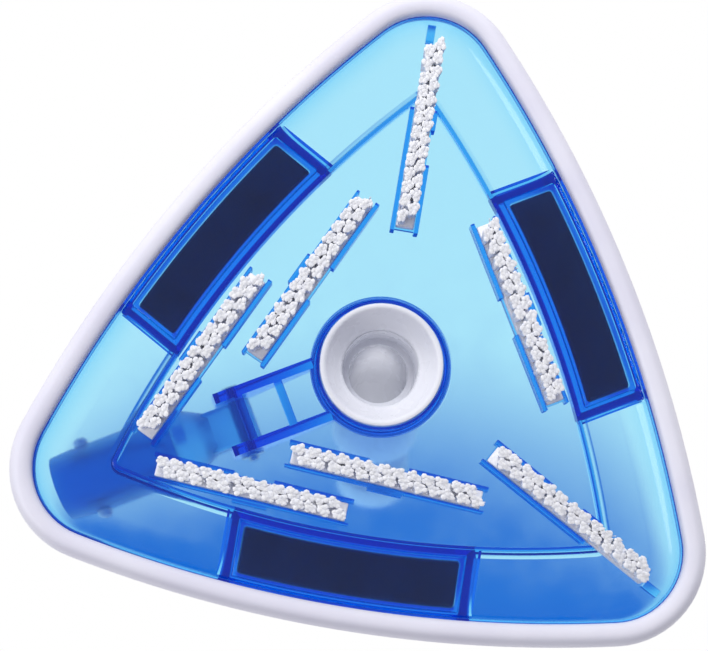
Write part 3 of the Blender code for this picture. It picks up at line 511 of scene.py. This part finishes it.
def makeShell():
    body = shellPan()
    joins, cuts = [], []
    for turn in sides.values():
        housing, hollow, seat = pocketSolids(turn)
        joins.append(housing)
        cuts += [hollow, seat]
    for name, place in stripPlaces.items():
        rails, slot = seatSolids(name, *place)
        joins += rails
        cuts.append(slot)
    collar, bore, throat = collarSolids()
    joins.append(collar)
    cuts += [bore, throat]
    for side in (-1, 1):
        joins.append(earSolid(*sorted((side * ear["inner"], side * (ear["inner"] + ear["thick"])))))
    for y in ear["ties"]:
        bm = bmesh.new()
        across = ear["inner"] + 1 * mm
        low, high = ear["tieZ"]
        addBox(bm, (-across, y - ear["tie"] / 2, low), (across, y + ear["tie"] / 2, high))
        bevelSharp(bm, 0.5 * mm, 2)
        joins.append(toObject("tiePart", bm))
    reach = ear["inner"] + ear["thick"] + 1 * mm
    cuts.append(toObject("pinHole", crossBore(ear["pin"], reach), (0, ear["pinY"], ear["pinZ"])))
    joinAndCut(body, joins, cuts)
    body.data.transform(Matrix.Translation((0, portY, 0)))
    print("shell", len(body.data.polygons), "faces,", openEdges(body), "open edges")
    # the wide faces keep their own normals, which the coves beside them would tilt
    body.modifiers.new("flatFacesFlat", "WEIGHTED_NORMAL").keep_sharp = True
    finishPiece(body, "shell_body", clearBlue, "shell")


makeShell()


# bumper

bumper = {"proud": 9.7 * mm, "z": 4.2 * mm, "top": 18.6 * mm, "lip": 2 * mm, "arc": 16}


def makeBumper():
    low, high = shell["rimZ"] - 0.3 * mm, shell["rimZ"] + shell["wall"] + 0.3 * mm
    z, top, lip = bumper["z"], bumper["top"], bumper["lip"]
    belly = bumper["proud"] - 4.7 * mm
    middle, half = (z + top) / 2, (top - z) / 2
    section = [(0, low), (0, z + 3.4 * mm), (0.25 * mm, z + 2.4 * mm), (0.8 * mm, z + 1.5 * mm),
               (1.8 * mm, z + 0.75 * mm), (3.2 * mm, z + 0.2 * mm)]
    for i in range(bumper["arc"] + 1):
        a = math.radians(-90 + 180 * i / bumper["arc"])
        section.append((4.7 * mm + belly * math.cos(a), middle + half * math.sin(a)))
    section += [(lip + 1.2 * mm, top - 0.5 * mm), (lip + 0.4 * mm, top - 1.3 * mm), (lip, top - 2.6 * mm),
                (lip, high), (shell["grip"] + 0.3 * mm, high), (shell["grip"] + 0.3 * mm, low)]
    bm = bmesh.new()
    bridgeAll(bm, [outlineLoop(bm, bodyShape, *p) for p in section], closed=True)
    piece = toObject("softBumper", bm, (0, portY, 0))
    finishPiece(piece, "shell_body", vinyl, "bumper", 50)


makeBumper()


# weights and covers

bars = (
    ("weight", 0, (weight["z"], weight["z"] + weight["height"]), weight["soft"], coatedIron, "coated_weight"),
    ("weight_cover", cover["lap"], (cover["top"] - cover["thick"], cover["top"]), cover["soft"], coverBlue,
     "clear_blue_plastic"),
)
for sideName, turn in sides.items():
    for label, reach, zs, soft, look, slotName in bars:
        bm = bmesh.new()
        edge = (weight["inner"] - reach, weight["outer"] + reach, weight["half"] + reach)
        bridgeAll(bm, [bowLoop(bm, *edge, z) for z in zs])
        bevelSharp(bm, soft, 3)
        piece = toObject(f"{label}Bar_{sideName}", bm, turn=turn)
        piece.data.transform(Matrix.Translation((0, portY, 0)))
        finishPiece(piece, "shell_body", look, f"{label}_{sideName}")
print("bumper and weights made")


# brushes

tuft = {"rows": 2, "perRow": 13, "rowY": 2.0 * mm, "end": 3 * mm, "root": 1.3 * mm, "spread": 1.9 * mm,
        "clumps": 9, "clump": 1.02 * mm, "fibres": 30, "fibre": 0.2 * mm, "stray": 0.1, "bend": 1.4,
        "long": 1.3, "kinds": 6, "seed": 41}
goldenAngle = 2.39996  # radians from one filament to the next, which packs them evenly


def tuftMesh(rng):  # one bundle of filaments round the Z axis, cut level at z = 0
    bm = bmesh.new()
    height = strip["baseZ"] + 0.3 * mm
    # filaments cling together in clumps, each with a domed end
    for i in range(tuft["clumps"]):
        angle = i * goldenAngle + rng.uniform(-0.3, 0.3)
        share = math.sqrt((i + 0.35) / tuft["clumps"])
        tip = rng.uniform(0.2, 0.75) * mm
        clump = tuft["clump"] * rng.uniform(0.85, 1.2)
        known = set(bm.verts)
        bmesh.ops.create_cone(bm, cap_ends=True, segments=7, radius1=clump, radius2=0.8 * clump,
                              depth=height - tip)
        made = [v for v in bm.verts if v not in known]
        bmesh.ops.translate(bm, verts=made, vec=(0, 0, (height + tip) / 2))
        end = min((f for f in bm.faces if f.verts[0] not in known), key=lambda f: f.calc_center_median().z)
        bmesh.ops.inset_region(bm, faces=[end], thickness=0.45 * clump, depth=0.3 * clump)
        for v in (v for v in bm.verts if v not in known):
            low = max(0, 1 - v.co.z / height) ** tuft["bend"]
            out = share * (tuft["root"] + (tuft["spread"] - tuft["root"]) * low)
            loose = 0.13 * mm * low
            v.co += Vector((out * math.cos(angle) + rng.uniform(-loose, loose),
                            out * math.sin(angle) + rng.uniform(-loose, loose), 0))
    for i in range(tuft["fibres"]):
        angle = i * goldenAngle
        share = math.sqrt((i + 0.5) / tuft["fibres"])
        lean = tuft["spread"] * share * rng.uniform(0.75, 1.25)
        lift = rng.uniform(0.02, 0.8) * mm
        if rng.random() < tuft["stray"]:
            lean *= rng.uniform(1.3, 1.8)
        radius = tuft["fibre"] * rng.uniform(0.85, 1.2)
        made = bmesh.ops.create_cone(bm, cap_ends=True, segments=4, radius1=radius, radius2=radius,
                                     depth=height - lift)["verts"]
        bmesh.ops.translate(bm, verts=made, vec=(0, 0, (height + lift) / 2))
        swirl = rng.uniform(-0.4, 0.4)
        for v in made:
            low = max(0, 1 - v.co.z / height)
            out = tuft["root"] * share + (lean - tuft["root"] * share) * low ** tuft["bend"]
            v.co.x += out * math.cos(angle + swirl * low)
            v.co.y += out * math.sin(angle + swirl * low)
    bmesh.ops.scale(bm, verts=bm.verts[:], vec=(tuft["long"], 1, 1))
    mesh = bpy.data.meshes.new("tuft")
    bm.to_mesh(mesh)
    bm.free()
    return mesh


def makeBrushes():
    rng = random.Random(tuft["seed"])
    kinds = [tuftMesh(rng) for _ in range(tuft["kinds"])]
    half = strip["length"] / 2
    pitch = (strip["length"] - 2 * tuft["end"]) / (tuft["perRow"] - 0.5)
    for name, (x, y, turn, side) in stripPlaces.items():
        base = bmesh.new()
        addBox(base, (-half, -strip["width"] / 2, strip["baseZ"]), (half, strip["width"] / 2, strip["top"]))
        bevelSharp(base, 0.7 * mm, 3)
        for row in range(tuft["rows"]):
            for i in range(tuft["perRow"]):
                copy = rng.choice(kinds).copy()
                px = -half + tuft["end"] + pitch * (i + 0.5 * row) + rng.uniform(-0.5, 0.5) * mm
                py = tuft["rowY"] * (2 * row - 1) + rng.uniform(-0.15, 0.15) * mm
                tilt = Matrix.Shear("XY", 4, (rng.uniform(-0.03, 0.03), rng.uniform(-0.03, 0.03)))
                facing = Matrix.Rotation(math.pi * rng.randrange(2) + rng.uniform(-0.3, 0.3), 4, "Z")
                copy.transform(Matrix.Translation((px, py, 0)) @ tilt @ facing)
                base.from_mesh(copy)
                bpy.data.meshes.remove(copy)
        mesh = bpy.data.meshes.new(name)
        base.to_mesh(mesh)
        base.free()
        mesh.transform(Matrix.Translation((x, y + portY, 0)) @ Matrix.Rotation(math.radians(turn), 4, "Z"))
        piece = bpy.data.objects.new(f"{name}Strip", mesh)
        bpy.context.scene.collection.objects.link(piece)
        finishPiece(piece, "shell_body", nylon, name, 50)
    print("brushes made")


makeBrushes()


# swivel ring, elbow and seal

ring = {"radius": 26.3 * mm, "z": 12 * mm, "top": 29.4 * mm, "wall": 1.7 * mm, "bore": 16.6 * mm,
        "funnel": 11.4 * mm, "stemZ": 25.8 * mm, "stem": 22.3 * mm}
elbow = {"start": 46 * mm, "bend": 25 * mm, "angle": 45, "heading": 21.7, "neck": 18.45 * mm,
         "step": 19.05 * mm, "stepLength": 24 * mm, "nozzle": 15.9 * mm, "nozzleLength": 30 * mm,
         "bore": 13 * mm, "flange": 28 * mm, "flangeZ": 33.3 * mm, "flangeHeight": 3.2 * mm,
         "groove": 19.6 * mm, "grooveZ": 29.85 * mm, "gripRing": 0.35 * mm, "gripPitch": 6 * mm}


def makeRing():
    r, z, bore = ring["radius"], ring["z"], ring["bore"]
    throat = z + ring["funnel"]
    inner = r - ring["wall"]
    profile = [(r, ring["top"]), (r, z + 0.8 * mm), (r - 0.25 * mm, z + 0.25 * mm), (r - 0.8 * mm, z),
               (inner + 0.3 * mm, z), (inner - 0.3 * mm, z + 0.15 * mm), (inner - 0.9 * mm, z + 0.8 * mm),
               (inner - 1.5 * mm, z + 1.9 * mm), (bore + 2.0 * mm, throat - 0.9 * mm),
               (bore + 0.9 * mm, throat), (bore + 0.25 * mm, throat + 0.6 * mm), (bore, throat + 1.4 * mm),
               (bore, ring["stemZ"] - 0.3 * mm),
               (ring["stem"] + 0.3 * mm, ring["stemZ"] - 0.3 * mm), (ring["stem"] + 0.3 * mm, ring["top"])]
    piece = toObject("funnelRing", spinProfile(profile), (0, portY, 0))
    finishPiece(piece, "swivel", whiteAbs, "swivel_ring", 40)


def elbowMatrix(length):  # where the elbow's centreline is, this far from its foot
    rise = elbow["start"] - ring["stemZ"]
    bend = elbow["bend"] * math.radians(elbow["angle"])
    turn = min(max(length - rise, 0), bend) / elbow["bend"]
    ahead = max(length - rise - bend, 0)
    out = elbow["bend"] * (1 - math.cos(turn)) + ahead * math.sin(turn)
    up = ring["stemZ"] + min(length, rise) + elbow["bend"] * math.sin(turn) + ahead * math.cos(turn)
    return Matrix.Translation((out, 0, up)) @ Matrix.Rotation(turn, 4, "Y")


def makeElbow():
    rise = elbow["start"] - ring["stemZ"]
    bend = elbow["bend"] * math.radians(elbow["angle"])
    flange = elbow["flangeZ"] - ring["stemZ"]
    groove = elbow["grooveZ"] - ring["stemZ"]
    top = flange + elbow["flangeHeight"]
    big, stem, neck = elbow["flange"], ring["stem"], elbow["neck"]
    step = rise + bend + elbow["stepLength"]
    end = step + elbow["nozzleLength"]
    bends = [rise + bend * i / 12 for i in range(13)]
    grips = [step + 7 * mm + i * elbow["gripPitch"] for i in range(3)]  # low rings that hold the cuff
    outside = [(0, stem), (groove, stem), (groove, elbow["groove"]), (groove + 3 * mm, elbow["groove"]),
               (groove + 3 * mm, stem), (flange, stem), (flange, big - 0.6 * mm),
               (flange + 0.2 * mm, big - 0.15 * mm), (flange + 0.6 * mm, big), (top - 0.9 * mm, big),
               (top - 0.25 * mm, big - 0.25 * mm),
               (top, big - 0.9 * mm), (top, stem + 1.6 * mm), (top + 0.4 * mm, stem + 0.4 * mm),
               (top + 1.6 * mm, stem - 1.0 * mm), (rise - 2 * mm, neck + 0.4 * mm)]
    outside += [(s, neck) for s in bends]
    outside += [(rise + bend + 0.4 * mm, elbow["step"] - 0.2 * mm), (rise + bend + 1 * mm, elbow["step"]),
                (step - 1.4 * mm, elbow["step"]), (step - 0.4 * mm, elbow["step"] - 0.4 * mm),
                (step, elbow["step"] - 1.2 * mm), (step, elbow["nozzle"])]
    for s in grips:
        outside += [(s, elbow["nozzle"]), (s + 0.8 * mm, elbow["nozzle"] + elbow["gripRing"]),
                    (s + 1.2 * mm, elbow["nozzle"])]
    outside += [(end - 1.4 * mm, elbow["nozzle"]), (end - 0.4 * mm, elbow["nozzle"] - 0.35 * mm),
                (end, elbow["nozzle"] - 0.9 * mm), (end, elbow["bore"] + 0.4 * mm),
                (end - 0.4 * mm, elbow["bore"])]
    inside = [(s, elbow["bore"]) for s in bends[::-1]]
    inside += [(rise - 1.4 * mm, elbow["bore"] + 0.1 * mm), (rise - 1.8 * mm, elbow["bore"] + 0.5 * mm),
               (rise - 2 * mm, ring["bore"] - 1.1 * mm), (rise - 3 * mm, ring["bore"] - 0.6 * mm),
               (0, ring["bore"] - 0.2 * mm)]
    bm = bmesh.new()
    loops = []
    for s, radius in outside + inside:
        known = set(bm.edges)
        bmesh.ops.create_circle(bm, segments=64, radius=radius, matrix=elbowMatrix(s))
        loops.append([e for e in bm.edges if e not in known])
    bridgeAll(bm, loops, closed=True)
    piece = toObject("hoseElbow", bm, (0, portY, 0), elbow["heading"])
    finishPiece(piece, "swivel", whiteAbs, "swivel_elbow", 40)


seal = {"radius": 1.2 * mm, "z": 31.35 * mm}


def makeSeal():
    bm = bmesh.new()
    made = bmesh.ops.create_circle(bm, segments=16, radius=seal["radius"])["verts"]
    bmesh.ops.rotate(bm, verts=made, matrix=Matrix.Rotation(math.pi / 2, 3, "X"))
    bmesh.ops.translate(bm, verts=made, vec=(ring["stem"] - seal["radius"], 0, seal["z"]))
    bmesh.ops.spin(bm, geom=bm.verts[:] + bm.edges[:], cent=(0, 0, 0), axis=(0, 0, 1), angle=math.tau,
                   steps=64, use_merge=True)
    piece = toObject("sealRing", bm, (0, portY, 0))
    finishPiece(piece, "swivel", rubber, "swivel_o_ring")


makeRing()
makeElbow()
makeSeal()
print("swivel made")


# handle

handle = {"tube": 15 * mm, "bore": 12 * mm, "start": 24 * mm, "end": 84 * mm, "hub": 6.5 * mm,
          "half": 9.4 * mm, "pin": 2.8 * mm, "button": 68.7 * mm, "hole": 4.3 * mm}


def makeHandle():
    front = handle["start"] - 8 * mm
    tube, bore, end = handle["tube"], handle["bore"], handle["end"]
    floorY = handle["start"] + 8 * mm
    profile = [(0, front - 3 * mm), (handle["half"] - 0.4 * mm, front - 3 * mm),
               (tube - 0.9 * mm, handle["start"] - 1.2 * mm), (tube - 0.2 * mm, handle["start"] - 0.1 * mm),
               (tube, handle["start"] + 1 * mm), (tube, end - 1 * mm), (tube - 0.3 * mm, end - 0.3 * mm),
               (tube - 1 * mm, end), (bore + 0.4 * mm, end), (bore, end - 0.4 * mm), (bore, floorY),
               (bore - 0.6 * mm, floorY - 1.4 * mm), (bore - 2 * mm, floorY - 2 * mm), (0, floorY - 2 * mm)]
    body = toObject("poleHandle", spinProfile(profile, (0, 1, 0), 80, False))
    half = handle["half"]
    hub = spinProfile([(0, -half), (handle["hub"] - 0.4 * mm, -half), (handle["hub"], -half + 0.4 * mm),
                       (handle["hub"], half - 0.4 * mm), (handle["hub"] - 0.4 * mm, half), (0, half)],
                      (1, 0, 0), 64, False)
    tongue = bmesh.new()
    across, deep = half - 0.3 * mm, handle["hub"] - 0.3 * mm
    addBox(tongue, (-across, 0, -deep), (across, front, deep))
    bevelSharp(tongue, 0.8 * mm, 3)
    through = 2 * tube
    pinBore = toObject("pinBore", crossBore(handle["pin"], through))
    buttonHole = toObject("buttonHole", crossBore(handle["hole"], through), (0, handle["button"], 0))
    joinAndCut(body, [toObject("hubPart", hub), toObject("tonguePart", tongue)], [pinBore, buttonHole])
    body.data.transform(Matrix.Translation(pivot))
    print("handle", openEdges(body), "open edges")
    finishPiece(body, "handle_body", handleBlue, "handle")


makeHandle()


# small turned and bent pieces: rounded copies of the CAD solids

smallPieces = {
    "hinge_pin": ("shell_body", "stainless_steel", steel, 0.25 * mm),
    "pin_washer": ("shell_body", "stainless_steel", steel, 0.2 * mm),
    "clip_bend": ("handle_body", "stainless_steel", steel, 0.15 * mm),
    "clip_arm_left": ("clip_left", "stainless_steel", steel, 0.15 * mm),
    "clip_arm_right": ("clip_right", "stainless_steel", steel, 0.15 * mm),
    "snap_button_left": ("clip_left", "white_acetal", whiteAbs, 0.3 * mm),
    "snap_button_right": ("clip_right", "white_acetal", whiteAbs, 0.3 * mm),
}
for node, (body, slotName, look, soft) in smallPieces.items():
    bm = bmesh.new()
    bm.from_mesh(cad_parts[node].data)
    bmesh.ops.remove_doubles(bm, verts=bm.verts[:], dist=weld)
    bmesh.ops.dissolve_limit(bm, angle_limit=math.radians(1), verts=bm.verts[:], edges=bm.edges[:])
    bevelSharp(bm, soft, 2, 50)
    finishPiece(toObject(f"{node}Round", bm), body, look, node, 30)
print("small pieces made")


# floor, light and camera

floorLook = {"radius": 6, "colour": "#ebebed", "roughness": 0.9}


def makeFloor():
    bm = bmesh.new()
    bmesh.ops.create_circle(bm, cap_ends=True, segments=64, radius=floorLook["radius"])
    floor = toObject("paleFloor", bm)
    made = bpy.data.materials.new("paleFloorPaint")
    made.use_nodes = True
    tree = made.node_tree
    shader = tree.nodes["Principled BSDF"]
    shader.inputs["Base Color"].default_value = (*toLinear(floorLook["colour"]), 1)
    shader.inputs["Roughness"].default_value = floorLook["roughness"]
    # seen from above only, so that the head can be looked at through it from below and lit from there
    path = addNode(tree, "ShaderNodeLightPath", {}).outputs
    under = addNode(tree, "ShaderNodeNewGeometry", {}).outputs["Backfacing"]
    looking = {0: path["Is Camera Ray"], 1: path["Is Transmission Ray"]}
    seen = addNode(tree, "ShaderNodeMath", looking, operation="MAXIMUM")
    hidden = addNode(tree, "ShaderNodeMath", {0: 1.0, 1: seen.outputs[0]}, operation="SUBTRACT")
    clear = addNode(tree, "ShaderNodeMath", {0: under, 1: hidden.outputs[0]}, operation="MAXIMUM")
    empty = addNode(tree, "ShaderNodeBsdfTransparent", {}).outputs[0]
    mix = addNode(tree, "ShaderNodeMixShader", {0: clear.outputs[0], 1: shader.outputs[0], 2: empty})
    tree.links.new(mix.outputs[0], tree.nodes["Material Output"].inputs["Surface"])
    floor.data.materials.append(made)


mouth = Vector((0.047, portY + 0.019, 0.097))  # the hose end, where a little light goes in
lamps = {
    "keyPanel": {"place": (-0.74, -0.25, -0.83), "target": (0, 0, 0), "size": (0.6, 0.6), "power": 9.5,
                 "seen": False},
    "sidePanel": {"place": (-0.1, 1.0, -0.55), "target": (0, 0.05, 0), "size": (0.5, 0.9), "power": 4},
    "boreLamp": {"place": mouth + Vector((0.32, 0.13, 0.2)), "target": mouth, "size": (0.06, 0.06),
                 "power": 1.5, "seen": False},
}


def makeLight(name, place, target, size, power, seen=True):
    lamp = bpy.data.lights.new(name, "AREA")
    lamp.shape, lamp.size, lamp.size_y, lamp.energy = "RECTANGLE", size[0], size[1], power
    lit = bpy.data.objects.new(name, lamp)
    bpy.context.scene.collection.objects.link(lit)
    lit.location = place
    lit.rotation_euler = (Vector(target) - Vector(place)).to_track_quat("-Z", "Y").to_euler()
    lit.visible_camera = lit.visible_glossy = lit.visible_transmission = seen
    return lit


view = {"place": (0.0852, 0.0480, -0.7893), "right": (0.35438, -0.93451, -0.03332),
        "up": (-0.92613, -0.34583, -0.15058), "back": (0.12920, 0.08423, -0.98804), "lens": 97.1,
        "sensor": 36, "clip": (0.05, 20)}


def makeCamera():
    data = bpy.data.cameras.new("studioCamera")
    data.lens, data.sensor_width = view["lens"], view["sensor"]
    data.clip_start, data.clip_end = view["clip"]
    camera = bpy.data.objects.new("studioCamera", data)
    bpy.context.scene.collection.objects.link(camera)
    turned = Matrix((view["right"], view["up"], view["back"])).transposed().to_4x4()
    camera.matrix_world = Matrix.Translation(view["place"]) @ turned
    bpy.context.scene.camera = camera


studio = {"white": (1.2, 1.14, 0.9, 1), "blue": (0.02, 0.2, 0.56, 1), "sky": (0.86, 0.86, 0.9, 1),
          "below": (0.33, 0.33, 0.38, 1), "backdrop": (1, 1, 1, 1), "card": (0.1424, 0.0187, 0.9896),
          "cardFade": (0.9597, 0.98), "bright": (-0.94, -0.35, 0), "sideFade": (-0.6, 0.12), "dim": 0.5,
          "horizon": (-0.25, 0.35)}


def makeWorld():
    world = bpy.data.worlds.new("softStudio")
    world.use_nodes = True
    tree = world.node_tree
    path = addNode(tree, "ShaderNodeLightPath", {}).outputs
    ray = addNode(tree, "ShaderNodeTexCoord", {}).outputs["Generated"]
    # overhead, seen through the clear plastic, a soft-edged blue card in a white sky that dims to one side
    near = addNode(tree, "ShaderNodeVectorMath", {0: ray, 1: studio["card"]}, operation="DOT_PRODUCT")
    card = spread(tree, near.outputs["Value"], 1, 0, *studio["cardFade"])
    across = addNode(tree, "ShaderNodeVectorMath", {0: ray, 1: studio["bright"]}, operation="DOT_PRODUCT")
    side = spread(tree, across.outputs["Value"], studio["dim"], 1, *studio["sideFade"])
    white = addNode(tree, "ShaderNodeMath", {0: card, 1: side}, operation="MULTIPLY").outputs[0]
    high = addNode(tree, "ShaderNodeSeparateXYZ", {0: ray}).outputs["Z"]
    above = spread(tree, high, 0, 1, *studio["horizon"])
    sky = mixColour(tree, white, studio["blue"], studio["white"])
    through = mixColour(tree, path["Is Transmission Ray"], studio["sky"], sky)
    room = mixColour(tree, above, studio["below"], through)
    shown = mixColour(tree, path["Is Camera Ray"], room, studio["backdrop"])
    tree.links.new(shown, tree.nodes["Background"].inputs["Color"])
    bpy.context.scene.world = world
    bpy.context.scene.view_settings.view_transform = "Standard"


makeFloor()
lights = {name: makeLight(name, **lamp) for name, lamp in lamps.items()}
bored = bpy.data.collections.new("litByBoreLamp")
for name in ("hoseElbow", "funnelRing"):
    bored.objects.link(bpy.data.objects[name])
lights["boreLamp"].light_linking.receiver_collection = bored
makeCamera()
makeWorld()
print("floor, lights and camera made")
